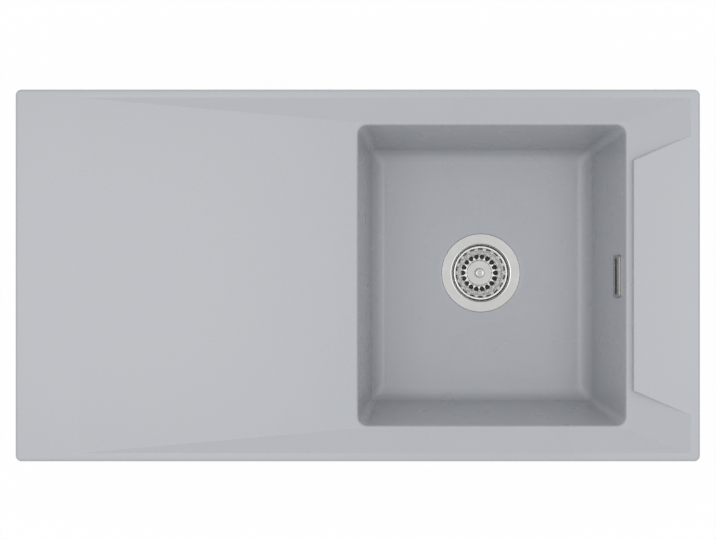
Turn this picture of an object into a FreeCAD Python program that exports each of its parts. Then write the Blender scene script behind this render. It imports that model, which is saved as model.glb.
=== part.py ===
import FreeCAD, Part

import math
import os

from FreeCAD import Placement, Rotation, Vector

# Millimetres. X runs along the sink with the bowl at +X, Y towards the wall behind it, Z up.
# The origin is the middle of the outline, at the top of the worktop that the rim rests on.

# Rim, drainboard and the facets that fall to the bowl
sink_length = 920.0
sink_width = 500.0
outline_corner = 8.0
rim_thickness = 9.0
rim_edge_round = 3.5
lip_side = 11.0  # level lip along the two long sides
lip_bowl_end = 13.0  # level lip past the tap deck
drainboard_level_end = 80.0  # level strip at the far end of the drainboard
facet_fall = 10.0  # from the lip down to the edge of the bowl
pan_inset = 3.0  # the underside of the facets starts this far inside their top

# Bowl
bowl_length = 362.0
bowl_side_gap = 47.0  # from the outline to the bowl along the long sides
bowl_end_gap = 98.0  # from the outline to the bowl at the tap deck
bowl_depth = 190.0  # from the top of the rim to the floor
bowl_draft = 7.0  # degrees
bowl_corner_top = 13.0
bowl_corner_floor = 9.0
bowl_edge_round = 4.0
bowl_floor_round = 22.0
wall = 9.0
bowl_neck = 4.5  # the bowl's wall is this thick where it passes up through the rim
rim_share_inset = 15.0  # the rim's plates meet this far inside the bowl's ends, past its corners
round_steps = 6  # sections in each rounded stretch of the bowl

# Tap deck, level with the lip, and its two knock-outs
ledge = 8.3  # strip between the bowl and the deck
deck_bowl_width = 310.0
deck_end_width = 377.0
deck_edge_round = 1.5
deck_skin = 10.0
deck_recess_inset = 8.0
tap_hole_radius = 17.5
tap_hole_spacing = 170.0
tap_hole_from_end = 51.0
tap_hole_skin = 4.0  # left over each knock-out
tap_hole_draft = 2.0  # degrees, so that the knock-outs leave the mould

# Ribs under the drainboard
rib_width = 5.0
rib_depth = 18.0
rib_inset = 8.0
rib_spacing_x = 100.0
rib_spacing_y = 130.0
rib_root = 1.0  # the ribs run this far into the plate

# Seal strip in its groove under the rim
seal_from_edge = 2.5
seal_width = 7.0
seal_thickness = 3.0
seal_least_corner = 1.0

# Clamps that pull the rim down onto the worktop
stud_clear = 10.0  # from the outside of the bowl to a stud
clamp_from_end = 130.0
claw_margin = 1.0  # the claw stays this far inside the outline
block_radius = 9.0
block_depth = 16.0
anchor_radius = 4.5
anchor_length = 12.0
anchor_bore_depth = 10.0
stud_radius = 3.0
stud_end = 68.0  # below the worktop's top
stud_lead = 0.8  # chamfer at the lower end
thread_gap = 0.3  # between the stud and what slides on it
worktop_thickness = 30.0
claw_width = 16.0
claw_height = 14.0
claw_tooth = 5.0
claw_tooth_height = 3.0
claw_tip_height = 6.0
nut_gap = 0.3
nut_height = 11.0
nut_radius = 6.0
nut_flare = 1.5  # the hub widens by this much to its top
wing_reach = 12.0
wing_thickness = 3.0
wing_drop = 1.0  # from the hub's top to the wings' top
wing_round = 3.5

# Floor, waste hole and strainer
drain_back = 3.0  # the drain lies this far behind the middle of the bowl
dish_radius = 130.0
dish_fall = 1.5
recess_radius = 63.0
recess_slope = 4.0  # the recess narrows by this much to its foot
recess_depth = 3.0
waste_hole_radius = 45.0
seat_thickness = 8.0  # stone left between the recess and the pad below it
pad_radius = 65.0
sheet = 1.0  # pressed steel
flange_radius = 57.5
throat_round = 3.5
cup_radius = 41.0
cup_depth = 32.5
valve_seat_radius = 31.5
valve_seat_drop = 7.0
neck_length = 8.0
arm_width = 5.0
arm_height = 2.5
hub_radius = 7.0
gasket_inset = 1.0  # both gaskets end this far inside their flanges
lower_gasket_thickness = 3.0

# Waste body under the floor
waste_flange_radius = 60.0
waste_flange_thickness = 5.0
waste_radius = 44.0
plastic_wall = 3.0
waste_sump = 12.0  # depth of the sump below the steel cup
waste_cone = 10.0
web_drop = 2.0  # from the pillar's top to the webs' top
port_neck = 2.0  # between the body's wall and the thread of its port
outlet_radius = 20.0
outlet_thread_radius = 23.9
outlet_length = 24.0
waste_screw_radius = 2.5
waste_screw_length = 18.0
screw_head_radius = 5.0
screw_head_height = 3.0
screw_head_chamfer = 1.0
screw_clearance = 0.3

# Basket that lifts out of the strainer
basket_clearance = 1.2  # between the basket's rim and the cup
seat_clearance = 0.3  # between the seal's bead and the valve seat
bead_inset = 6.5  # from the cup's wall to the middle of the bead
bead_radius = 1.5
seal_hub_height = 2.0
seal_hub_radius = 12.0
basket_height = 26.5
basket_rim_bead = 1.2
basket_rim_width = 2.0
basket_flutes = 18  # each has a slot at its top, and a hole stands between two at their foot
basket_flute_depth = 1.1  # at the shoulder
basket_slot_turn = 12.0  # degrees
basket_slot_width = 3.0
basket_slot_inset = 0.2  # from the rim's inner edge to the slots
basket_shoulder = 3.0  # rim to the lower edge of the slots, seen from above
basket_shoulder_drop = 5.5
basket_floor_radius = 25.0
basket_hole_radius = 2.2
basket_hole_rise = 5.0  # how far up the flutes the holes cut
cap_radius = 20.7
cap_height = 4.5
cap_edge_round = 1.5
cap_step = 1.0  # the middle of the cap stands above its brim
cap_step_radius = 17.8
cap_step_run = 0.5
knob_radius = 7.0
knob_neck_radius = 3.6
knob_flare = 1.5  # the neck widens to its foot
knob_round = 2.0
knob_height = 12.0
rivet_radius = 2.5
rivet_in_knob = 3.0
rivet_head_radius = 9.0
rivet_head_height = 1.0

# Overflow through the bowl's end wall
overflow_drop = 46.5  # from the top of the rim to the middle of the slot
overflow_side = -1.5
cover_length = 58.0
cover_height = 28.0
cover_thickness = 3.0
cover_corner = 4.0
cover_edge_round = 0.8
cover_slot_height = 7.0
cover_slot_corner = 1.0
cover_slot_lap = 1.0  # the slot runs this far into the recess of each screw
cover_screw_spacing = 40.0
cover_recess_radius = 5.5
cover_recess_depth = 2.0
cover_screw_radius = 2.0
cover_screw_head_radius = 4.0
cover_screw_head_height = 1.6
cover_screw_grip = 16.0  # length of screw inside the overflow box
wall_slot_height = 14.0
wall_slot_length = 50.0
overflow_gasket_thickness = 2.0
overflow_gasket_gap = 1.0  # between the gasket and the slot's edge
overflow_lap = 2.0  # gasket and box flange past the cover
box_depth = 38.0
box_inset = 1.0  # each end of the box stands this far inside the cover's end
box_wall = 2.5
box_inner_corner = 2.0

# Overflow pipe with its union nuts
pipe_radius = 12.5
pipe_wall = 2.0
pipe_bend = 45.0
pipe_in_socket = 12.0
spigot_clearance = 0.5
spigot_length = 18.0
union_gap = 4.2  # between the upper nut and the bowl
union_thread_length = 12.0
union_wall = 3.8
union_thread_gap = 0.2
union_cap = 3.0
union_chamfer = 1.0
union_shoulder = 2.0
union_grips = 10
union_grip_radius = 1.6
cone_seal_length = 3.0
cone_seal_chamfer = 1.0

# Derived places
half_length = sink_length / 2
half_width = sink_width / 2
slope = math.tan(math.radians(bowl_draft))
lean = math.cos(math.radians(bowl_draft))
diagonal = math.sqrt(0.5)  # the middle of a quarter round
eps = 0.5  # cutting tools run past the faces that they open
bowl_right = half_length - bowl_end_gap
bowl_left = bowl_right - bowl_length
bowl_side = half_width - bowl_side_gap
open_z = rim_thickness - facet_fall
floor_z = rim_thickness - bowl_depth
dish_z = floor_z - dish_fall
recess_z = dish_z - recess_depth
pad_z = recess_z - seat_thickness
edge_reach = bowl_edge_round * (1 / lean - slope)
deck_x = bowl_right + ledge
tap_x = half_length - tap_hole_from_end
deck_under_z = rim_thickness - deck_skin

drain = Vector((bowl_left + bowl_right) / 2, drain_back, 0)
cup_wall_z = dish_z - cup_depth
valve_seat_z = cup_wall_z - valve_seat_drop
neck_z = valve_seat_z - neck_length
waste_top_z = pad_z - lower_gasket_thickness
sump_z = neck_z - waste_sump
outlet_z = sump_z - waste_cone
outlet_end_z = outlet_z - outlet_length
spigot_radius = pipe_radius + spigot_clearance
spigot_outer = spigot_radius + plastic_wall
port_z = neck_z
port_end = waste_radius + plastic_wall + spigot_length + port_neck

seat_run = cup_radius - valve_seat_radius
seat_length = math.hypot(seat_run, valve_seat_drop)
bead_ring = cup_radius - bead_inset
bead_off_seat = bead_radius + seat_clearance
bead_z = cup_wall_z + (bead_off_seat * seat_length - valve_seat_drop * bead_inset) / seat_run
basket_base_z = bead_z + bead_radius + seal_hub_height
basket_top_z = basket_base_z + basket_height
basket_rim_radius = cup_radius - basket_clearance
basket_rim_inner = basket_rim_radius - basket_rim_width
cap_z = basket_base_z + sheet + cap_height

overflow_z = rim_thickness - overflow_drop
wall_foot = Vector(bowl_right - (open_z - overflow_z) * slope, overflow_side, overflow_z)
on_wall = Placement(wall_foot, Rotation(Vector(0, 1, 0), bowl_draft))
wall_through = wall * lean
gasket_end = wall_through + overflow_gasket_thickness
box_back = gasket_end + box_depth
box_length = cover_length - 2 * box_inset
box_height = cover_height
box_bottom_z = overflow_z - box_height / 2 * lean - box_back * math.sin(math.radians(bowl_draft))
spigot_end_z = box_bottom_z - spigot_length
union_radius = spigot_outer + union_thread_gap + union_wall
union_top_z = spigot_end_z + union_thread_length
pipe_x = bowl_right + wall - (open_z - union_top_z) * slope + union_radius + union_gap

clamp_y = bowl_side + wall + stud_clear
claw_reach = half_width - claw_margin - clamp_y
clamp_end_x = half_length - claw_margin - claw_reach
clamp_x = half_length - clamp_from_end
clamps = [
    (-clamp_x, clamp_y, 90),
    (clamp_x, clamp_y, 90),
    (-clamp_x, -clamp_y, -90),
    (clamp_x, -clamp_y, -90),
    (-clamp_end_x, 0, 180),
    (clamp_end_x, 0, 0),
]
claw_top_z = -worktop_thickness
claw_hub_z = claw_top_z - claw_tooth_height
claw_base_z = claw_top_z - claw_height
nut_top_z = claw_base_z - nut_gap


# Helpers


def outline(x_low, x_high, y_low, y_high, radius, z):
    # a level rectangle with rounded corners
    corners = [
        (x_high - radius, y_high - radius, 0),
        (x_low + radius, y_high - radius, 90),
        (x_low + radius, y_low + radius, 180),
        (x_high - radius, y_low + radius, 270),
    ]
    up = Vector(0, 0, 1)
    arcs = [Part.makeCircle(radius, Vector(x, y, z), up, turn, turn + 90) for x, y, turn in corners]
    edges = []
    for arc, following in zip(arcs, arcs[1:] + arcs[:1]):
        edges += [arc, Part.makeLine(arc.lastVertex().Point, following.firstVertex().Point)]
    return Part.Wire(edges)


def rectangle(x_low, x_high, y_low, y_high, z):
    corners = [(x_low, y_low), (x_high, y_low), (x_high, y_high), (x_low, y_high), (x_low, y_low)]
    return Part.makePolygon([Vector(x, y, z) for x, y in corners])


def block(x_low, x_high, y_low, y_high, z_low, z_high):
    size = (x_high - x_low, y_high - y_low, z_high - z_low)
    return Part.makeBox(*size, Vector(x_low, y_low, z_low))


def post(x, y, z_low, z_high, radius):
    return Part.makeCylinder(radius, z_high - z_low, Vector(x, y, z_low))


def tapered_post(x, y, z_low, z_high, radius_low, radius_high):
    return Part.makeCone(radius_low, radius_high, z_high - z_low, Vector(x, y, z_low))


def turned(start, *steps):
    # a solid turned about Z from a closed outline of (radius, height); a step of two points is an arc
    edges = []
    here = start
    for step in steps + (start,):
        if isinstance(step[0], tuple):
            middle, end = step
            arc = Part.Arc(*[Vector(r, 0, z) for r, z in (here, middle, end)])
            edges.append(arc.toShape())
        else:
            end = step
            edges.append(Part.makeLine(Vector(here[0], 0, here[1]), Vector(end[0], 0, end[1])))
        here = end
    face = Part.Face(Part.Wire(edges))
    return face.revolve(Vector(0, 0, 0), Vector(0, 0, 1), 360)


def ring(inner, outer, z_low, z_high):
    return turned((inner, z_low), (outer, z_low), (outer, z_high), (inner, z_high))


def slab(length, height, corner, x_low, x_high):
    # a rounded plate that stands on edge across X, as wide as length along Y
    wire = outline(-height / 2, height / 2, -length / 2, length / 2, corner, x_low)
    plate = Part.Face(wire).extrude(Vector(0, 0, x_high - x_low))
    plate.rotate(Vector(0, 0, 0), Vector(0, 1, 0), 90)
    return plate


def peg(y, radius, x_low, x_high):
    return Part.makeCylinder(radius, x_high - x_low, Vector(x_low, y, 0), Vector(1, 0, 0))


def seated(shape, place):
    moved = shape.copy()
    moved.Placement = place.multiply(moved.Placement)
    return moved


# Moulded stone body


def bowl_sections(grow):
    # insets and heights of the round at the bowl's foot; grow gives the outside of the same wall
    floor = floor_z - grow
    bend = bowl_floor_round + grow
    bend_z = floor + bend
    bend_in = (open_z - bend_z) * slope - grow + bend / lean
    sections = []
    for step in range(round_steps + 1):
        turn = math.radians(bowl_draft + (90 - bowl_draft) * step / round_steps)
        sections.append((bend_in - bend * math.cos(turn), bend_z - bend * math.sin(turn)))
    return sections


def bowl_section(inset, z, grow):
    depth = (open_z - z) / (open_z - floor_z)
    corner = bowl_corner_top + (bowl_corner_floor - bowl_corner_top) * min(max(depth, 0), 1)
    return outline(
        bowl_left + inset,
        bowl_right - inset,
        -bowl_side + inset,
        bowl_side - inset,
        corner + grow,
        z,
    )


def bowl_form(grow, top_z):
    sections = bowl_sections(grow)
    top = ((open_z - top_z) * slope - grow, top_z)
    walls = Part.makeLoft([bowl_section(*level, grow) for level in (top, sections[0])], True, True)
    floor = Part.makeLoft([bowl_section(*level, grow) for level in sections], True, False)
    return walls.fuse(floor)


def bowl_mouth():
    # the rounded edge where the walls meet the facets
    centre_z = open_z - bowl_edge_round
    centre_in = bowl_edge_round * (slope - 1 / lean)
    wires = []
    for step in range(round_steps + 1):
        turn = math.radians(bowl_draft + (90 - bowl_draft) * step / round_steps)
        inset = centre_in + bowl_edge_round * math.cos(turn)
        z = centre_z + bowl_edge_round * math.sin(turn)
        corner = bowl_corner_top - inset
        wires.append(
            outline(bowl_left + inset, bowl_right - inset, -bowl_side + inset, bowl_side - inset, corner, z)
        )
    lowest_z = centre_z + bowl_edge_round * math.sin(math.radians(bowl_draft))
    return Part.makeLoft(wires, True, False), lowest_z


def facets(top_inset, foot_reach, drop, over):
    # the four planes that fall from the lip to the bowl; over carries them on above the lip
    top = [
        -half_length + drainboard_level_end + top_inset,
        half_length - lip_bowl_end - top_inset,
        -half_width + lip_side + top_inset,
        half_width - lip_side - top_inset,
    ]
    foot = [
        bowl_left - foot_reach,
        bowl_right + foot_reach,
        -bowl_side - foot_reach,
        bowl_side + foot_reach,
    ]
    share = over / facet_fall
    above = [high + (high - low) * share for high, low in zip(top, foot)]
    wires = [rectangle(*above, rim_thickness - drop + over), rectangle(*foot, open_z - drop)]
    return Part.makeLoft(wires, True, True)


def tap_deck():
    # a raised trapezium that runs into the lip
    x_end = half_length - lip_bowl_end
    run = x_end - deck_x
    widen = (deck_end_width - deck_bowl_width) / 2 / run
    past = x_end + lip_bowl_end / 2
    past_half = deck_end_width / 2 + widen * (past - x_end)
    corners = [
        (deck_x, -deck_bowl_width / 2),
        (past, -past_half),
        (past, past_half),
        (deck_x, deck_bowl_width / 2),
        (deck_x, -deck_bowl_width / 2),
    ]
    floor = open_z - wall / 2
    face = Part.Face(Part.makePolygon([Vector(x, y, floor) for x, y in corners]))
    deck = face.extrude(Vector(0, 0, rim_thickness - floor))
    edges = [
        edge
        for edge in deck.Edges
        if edge.CenterOfMass.z > rim_thickness - eps and edge.CenterOfMass.x < past - eps
    ]
    return deck.makeFillet(deck_edge_round, edges)


def ribs():
    x_low = -half_length + drainboard_level_end + rib_inset
    x_high = bowl_left - wall / 2
    y_limit = bowl_side - rib_inset
    shapes = []
    for y in (-rib_spacing_y, 0, rib_spacing_y):
        shapes.append(block(x_low, x_high, y - rib_width / 2, y + rib_width / 2, -rib_depth, rib_root))
    x = bowl_left - wall - rib_spacing_x
    while x > x_low + rib_width:
        shapes.append(block(x - rib_width / 2, x + rib_width / 2, -y_limit, y_limit, -rib_depth, rib_root))
        x -= rib_spacing_x
    return shapes


def seal_ring(z_low, z_high):
    solids = []
    for inset in (seal_from_edge, seal_from_edge + seal_width):
        x, y = half_length - inset, half_width - inset
        wire = outline(-x, x, -y, y, max(outline_corner - inset, seal_least_corner), z_low)
        solids.append(Part.Face(wire).extrude(Vector(0, 0, z_high - z_low)))
    return solids[0].cut(solids[1])


def drain_recess():
    over = eps * (dish_radius - recess_radius) / dish_fall
    shape = turned(
        (0, floor_z + eps),
        (dish_radius + over, floor_z + eps),
        (recess_radius, dish_z),
        (recess_radius - recess_slope, recess_z),
        (0, recess_z),
    )
    shape.translate(drain)
    return shape


def wall_slot():
    # two round ends with a straight stretch between them
    end = (wall_slot_length - wall_slot_height) / 2
    slot = slab(2 * end, wall_slot_height, eps, -2 * wall, 2 * wall)
    ends = [peg(y, wall_slot_height / 2, -2 * wall, 2 * wall) for y in (-end, end)]
    return seated(slot.multiFuse(ends), on_wall)


def knock_out(y):
    narrow_z = rim_thickness - tap_hole_skin
    mouth_z = deck_under_z - eps
    widen = (narrow_z - mouth_z) * math.tan(math.radians(tap_hole_draft))
    return tapered_post(tap_x, y, mouth_z, narrow_z, tap_hole_radius + widen, tap_hole_radius)


def stone_body():
    # rim, drainboard, deck and bowl in one casting
    face = Part.Face(outline(-half_length, half_length, -half_width, half_width, outline_corner, 0))
    plate = face.extrude(Vector(0, 0, rim_thickness))
    top_edges = [edge for edge in plate.Edges if edge.BoundBox.ZMin > rim_thickness - eps]
    plate = plate.makeFillet(rim_edge_round, top_edges)

    added = [facets(pan_inset, 0, rim_thickness, 0), bowl_form(wall, 0)]
    added.append(post(drain.x, drain.y, pad_z, floor_z - wall / 2, pad_radius))
    added += ribs()
    body = plate.multiFuse(added)

    mouth, wall_z = bowl_mouth()
    top = facets(0, edge_reach, 0, 1).cut(tap_deck())
    for hollow in (bowl_form(0, wall_z), mouth, top):
        body = body.cut(hollow)

    deck_recess = block(
        deck_x + deck_recess_inset,
        half_length - lip_bowl_end - deck_recess_inset,
        -deck_bowl_width / 2,
        deck_bowl_width / 2,
        -block_depth,
        deck_under_z,
    )
    removed = [drain_recess(), post(drain.x, drain.y, pad_z - eps, floor_z, waste_hole_radius)]
    removed += [wall_slot(), seal_ring(-eps, seal_thickness), deck_recess]
    removed += [knock_out(side * tap_hole_spacing / 2) for side in (-1, 1)]
    removed += anchor_holes()
    return body.cut(removed)


def bowl_share():
    # what belongs to the bowl: its wall and floor, the pad and the neck that rises through the rim
    foot_z = open_z - wall
    neck = Part.Face(bowl_section(-bowl_neck, foot_z, bowl_neck))
    collar = block(-sink_length, sink_length, -sink_width, sink_width, foot_z, sink_width)
    shape = bowl_form(wall, 0).cut(collar).fuse(neck.extrude(Vector(0, 0, facet_fall + wall)))
    return shape.fuse(post(drain.x, drain.y, pad_z - eps, floor_z, pad_radius + eps))


def rim_shares(rim):
    # the rim as plain plates round the neck: drainboard, back, front and tap deck
    x_low = bowl_left + rim_share_inset
    x_high = bowl_right - rim_share_inset
    sides = [
        block(-sink_length, x_low, -sink_width, sink_width, -sink_width, sink_width),
        block(x_low, x_high, 0, sink_width, -sink_width, sink_width),
        block(x_low, x_high, -sink_width, 0, -sink_width, sink_width),
        block(x_high, sink_length, -sink_width, sink_width, -sink_width, sink_width),
    ]
    return [rim.common(side) for side in sides]


def anchor_holes():
    top = anchor_length - block_depth
    return [post(x, y, -block_depth - eps, top, anchor_radius) for x, y, _ in clamps]


def clamp_blocks(body):
    # bonded under the rim, each shaped to the underside there
    blocks = []
    for (x, y, _), hole in zip(clamps, anchor_holes()):
        blocks.append(post(x, y, -block_depth, eps, block_radius).cut([body, hole]))
    return blocks


# Clamps


def anchors():
    top = anchor_length - block_depth
    bore_top = anchor_bore_depth - block_depth
    anchor = turned(
        (0, bore_top),
        (stud_radius, bore_top),
        (stud_radius, -block_depth),
        (anchor_radius, -block_depth),
        (anchor_radius, top),
        (0, top),
    )
    return [seated(anchor, Placement(Vector(x, y, 0), Rotation())) for x, y, _ in clamps]


def studs():
    top = anchor_bore_depth - block_depth
    stud = turned(
        (0, -stud_end),
        (stud_radius - stud_lead, -stud_end),
        (stud_radius, stud_lead - stud_end),
        (stud_radius, top),
        (0, top),
    )
    return [seated(stud, Placement(Vector(x, y, 0), Rotation())) for x, y, _ in clamps]


def claw():
    half = claw_width / 2
    side = [
        (0, claw_base_z),
        (claw_reach / 2, claw_base_z),
        (claw_reach, claw_top_z - claw_tip_height),
        (claw_reach, claw_top_z),
        (claw_reach - claw_tooth, claw_top_z),
        (claw_reach - claw_tooth - claw_tooth_height, claw_hub_z),
        (0, claw_hub_z),
        (0, claw_base_z),
    ]
    profile = Part.Face(Part.makePolygon([Vector(x, -half, z) for x, z in side]))
    arm = profile.extrude(Vector(0, claw_width, 0))
    at_tip = [edge for edge in arm.Edges if edge.BoundBox.XMin > claw_reach - eps]
    upright = [edge for edge in at_tip if edge.BoundBox.ZLength > eps]
    arm = arm.makeFillet(claw_tooth / 2, upright)
    body = arm.fuse(post(0, 0, claw_base_z, claw_hub_z, block_radius))
    return body.cut(post(0, 0, claw_base_z - eps, claw_hub_z + eps, stud_radius + thread_gap))


def wing_nut():
    base = nut_top_z - nut_height
    hub = tapered_post(0, 0, base, nut_top_z, nut_radius, nut_radius + nut_flare)
    side = wing_thickness / 2
    wing = block(-wing_reach, wing_reach, -side, side, base, nut_top_z - wing_drop)
    corners = [edge for edge in wing.Edges if edge.BoundBox.YLength > eps]
    wing = wing.makeFillet(wing_round, corners)
    body = hub.fuse(wing)
    return body.cut(post(0, 0, base - eps, nut_top_z + eps, stud_radius + thread_gap))


# Strainer


def at_drain(shape):
    shape.translate(drain)
    return shape


def strainer_gasket():
    return at_drain(ring(waste_hole_radius, flange_radius - gasket_inset, recess_z, dish_z - sheet))


def strainer_cup():
    # flange, rounded throat, cup and valve seat in one pressing
    turn_r = cup_radius + throat_round
    turn_z = dish_z - throat_round
    outer_round = throat_round - sheet
    foot = valve_seat_radius + sheet
    shell = turned(
        (turn_r, dish_z),
        ((turn_r - throat_round * diagonal, turn_z + throat_round * diagonal), (cup_radius, turn_z)),
        (cup_radius, cup_wall_z),
        (valve_seat_radius, valve_seat_z),
        (valve_seat_radius, neck_z),
        (foot, neck_z),
        (foot, valve_seat_z - sheet / 2),
        (cup_radius + sheet, cup_wall_z - sheet / 2),
        (cup_radius + sheet, turn_z),
        ((turn_r - outer_round * diagonal, turn_z + outer_round * diagonal), (turn_r, dish_z - sheet)),
        (flange_radius - sheet / 2, dish_z - sheet),
        ((flange_radius, dish_z - sheet / 2), (flange_radius - sheet / 2, dish_z)),
    )
    arms_top = neck_z + arm_height
    reach = foot - sheet / 2
    side = arm_width / 2
    arms = [
        block(-reach, reach, -side, side, neck_z, arms_top),
        block(-side, side, -reach, reach, neck_z, arms_top),
        post(0, 0, neck_z, arms_top, hub_radius),
    ]
    cup = shell.multiFuse(arms)
    hole = post(0, 0, neck_z - eps, arms_top + eps, waste_screw_radius + screw_clearance)
    return at_drain(cup.cut(hole))


def lower_gasket():
    return at_drain(ring(waste_radius, waste_flange_radius - gasket_inset, waste_top_z, pad_z))


def waste_body():
    outer = waste_radius + plastic_wall
    shell = turned(
        (waste_radius, waste_top_z),
        (waste_flange_radius, waste_top_z),
        (waste_flange_radius, waste_top_z - waste_flange_thickness),
        (outer, waste_top_z - waste_flange_thickness),
        (outer, sump_z),
        (outlet_thread_radius, outlet_z),
        (outlet_thread_radius, outlet_end_z),
        (outlet_radius, outlet_end_z),
        (outlet_radius, outlet_z),
        (waste_radius, sump_z + plastic_wall / 2),
    )
    to_port = Vector(1, 0, 0)
    mouth = Vector(waste_radius, 0, port_z)
    port = Part.makeCylinder(spigot_outer, port_end - waste_radius, mouth, to_port)
    webs = []
    for turn in (60, 180, 300):
        web = block(0, outer, -plastic_wall / 2, plastic_wall / 2, sump_z, neck_z - web_drop)
        web.rotate(Vector(0, 0, 0), Vector(0, 0, 1), turn)
        webs.append(web)
    inside = post(0, 0, sump_z, waste_top_z, waste_radius + plastic_wall / 2)
    webs = [web.common(inside) for web in webs]
    pillar = post(0, 0, sump_z, neck_z, hub_radius)
    body = shell.multiFuse([port, pillar] + webs)
    bore = Part.makeCylinder(spigot_radius, port_end, mouth - plastic_wall * to_port, to_port)
    screw_hole = post(0, 0, neck_z - waste_screw_length + arm_height, neck_z + eps, waste_screw_radius)
    return at_drain(body.cut([bore, screw_hole]))


def waste_screw():
    head_z = neck_z + arm_height
    screw = turned(
        (0, head_z - waste_screw_length),
        (waste_screw_radius, head_z - waste_screw_length),
        (waste_screw_radius, head_z),
        (screw_head_radius, head_z),
        (screw_head_radius, head_z + screw_head_height - screw_head_chamfer),
        (screw_head_radius - screw_head_chamfer, head_z + screw_head_height),
        (0, head_z + screw_head_height),
    )
    return at_drain(screw)


# Lift-out basket


def fluted(radius, z):
    # a level ring of arcs, one to each flute; where two meet, they lie in by the depth of a flute
    depth = basket_flute_depth * radius / (basket_rim_inner - basket_shoulder)
    pitch = 2 * math.pi / basket_flutes
    arcs = []
    for count in range(basket_flutes):
        reaches = ((radius - depth, count), (radius, count + 0.5), (radius - depth, count + 1))
        points = [Vector(r * math.cos(turn * pitch), r * math.sin(turn * pitch), z) for r, turn in reaches]
        arcs.append(Part.Arc(*points).toShape())
    return Part.Wire(arcs)


def basket():
    base, top = basket_base_z, basket_top_z
    rim, inner = basket_rim_radius, basket_rim_inner
    bead = basket_rim_bead
    shoulder = inner - basket_shoulder
    shoulder_z = top - basket_shoulder_drop
    widen = (shoulder - basket_floor_radius) / (shoulder_z - base)
    skin = sheet * math.hypot(1, widen)
    outside = [fluted(basket_floor_radius + skin, base), fluted(shoulder + skin, shoulder_z)]
    collar = turned(
        (shoulder - basket_flute_depth, shoulder_z - sheet),
        (shoulder + sheet, shoulder_z - sheet),
        (rim - bead, top - 2 * bead),
        ((rim, top - bead), (rim - bead, top)),
        (inner, top),
        (inner, top - bead),
        (shoulder, shoulder_z),
        (shoulder - basket_flute_depth, shoulder_z),
    )
    shell = Part.makeLoft(outside, True, True).fuse(collar)
    inside = [
        fluted(basket_floor_radius + sheet * widen, base + sheet),
        fluted(shoulder + eps * widen, shoulder_z + eps),
    ]
    shell = shell.cut(Part.makeLoft(inside, True, True))

    cuts = [post(0, 0, base - eps, base + sheet + eps, rivet_radius)]
    pitch = 360 / basket_flutes
    slot_outer = inner - basket_slot_inset
    slot_inner = slot_outer - basket_slot_width
    slot_low = base + basket_height / 2
    window = Part.makePolygon([
        Vector(slot_inner, 0, slot_low),
        Vector(slot_outer, 0, slot_low),
        Vector(slot_outer, 0, top - bead - basket_slot_inset),
        Vector(slot_inner, 0, top),
        Vector(slot_inner, 0, slot_low),
    ])
    for count in range(basket_flutes):
        slot = Part.Face(window).revolve(Vector(0, 0, 0), Vector(0, 0, 1), basket_slot_turn)
        slot.rotate(Vector(0, 0, 0), Vector(0, 0, 1), (count + 0.5) * pitch - basket_slot_turn / 2)
        hole = post(basket_floor_radius - sheet, 0, base - eps, base + basket_hole_rise, basket_hole_radius)
        hole.rotate(Vector(0, 0, 0), Vector(0, 0, 1), count * pitch)
        cuts += [slot, hole]
    return at_drain(shell.cut(cuts))


def basket_cap():
    # a pressed disc: a skirt, a rounded brim and a raised middle
    base = basket_base_z + sheet
    edge, top = cap_edge_round, cap_z
    brim = cap_z - cap_step
    inner = cap_radius - sheet
    cap = turned(
        (rivet_radius, top - sheet),
        (cap_step_radius - cap_step_run, top - sheet),
        (cap_step_radius, brim - sheet),
        (inner - edge, brim - sheet),
        (inner, brim - sheet - edge),
        (inner, base),
        (cap_radius, base),
        (cap_radius, brim - edge),
        ((cap_radius - edge + edge * diagonal, brim - edge + edge * diagonal), (cap_radius - edge, brim)),
        (cap_step_radius + cap_step_run, brim),
        (cap_step_radius, top),
        (rivet_radius, top),
    )
    return at_drain(cap)


def basket_knob():
    foot, top = cap_z, cap_z + knob_height
    middle = foot + knob_height / 2
    belly = knob_radius - knob_round * (1 - diagonal)
    knob = turned(
        (0, foot),
        (knob_neck_radius + knob_flare, foot),
        (knob_neck_radius, foot + knob_flare),
        (knob_neck_radius, middle - knob_round / 2),
        ((belly, middle), (knob_radius, middle + knob_round)),
        (knob_radius, top - knob_round),
        ((belly, top - knob_round * (1 - diagonal)), (knob_radius - knob_round, top)),
        (0, top),
    )
    socket = post(0, 0, foot - eps, foot + rivet_in_knob, rivet_radius)
    return at_drain(knob.cut(socket))


def basket_seal():
    disc_top = bead_z + bead_radius
    disc_base = bead_z - bead_radius
    seal = turned(
        (rivet_radius, disc_base),
        (bead_ring, disc_base),
        ((bead_ring + bead_radius, bead_z), (bead_ring, disc_top)),
        (seal_hub_radius, disc_top),
        (seal_hub_radius, basket_base_z),
        (rivet_radius, basket_base_z),
    )
    return at_drain(seal)


def basket_rivet():
    head = bead_z - bead_radius
    rivet = turned(
        (0, head - rivet_head_height),
        (rivet_head_radius - rivet_head_height, head - rivet_head_height),
        (rivet_head_radius, head),
        (rivet_radius, head),
        (rivet_radius, cap_z + rivet_in_knob),
        (0, cap_z + rivet_in_knob),
    )
    return at_drain(rivet)


# Overflow


def overflow_cover():
    plate = slab(cover_length, cover_height, cover_corner, -cover_thickness, 0)
    front_edges = [edge for edge in plate.Edges if edge.BoundBox.XMax < eps - cover_thickness]
    plate = plate.makeFillet(cover_edge_round, front_edges)
    end = cover_screw_spacing / 2
    length = 2 * (end - cover_recess_radius + cover_slot_lap)
    front = -cover_thickness
    cuts = [slab(length, cover_slot_height, cover_slot_corner, front - eps, eps)]
    for y in (-end, end):
        cuts.append(peg(y, cover_recess_radius, front - eps, front + cover_recess_depth))
        cuts.append(peg(y, cover_screw_radius + screw_clearance, front - eps, eps))
    return seated(plate.cut(cuts), on_wall)


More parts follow.
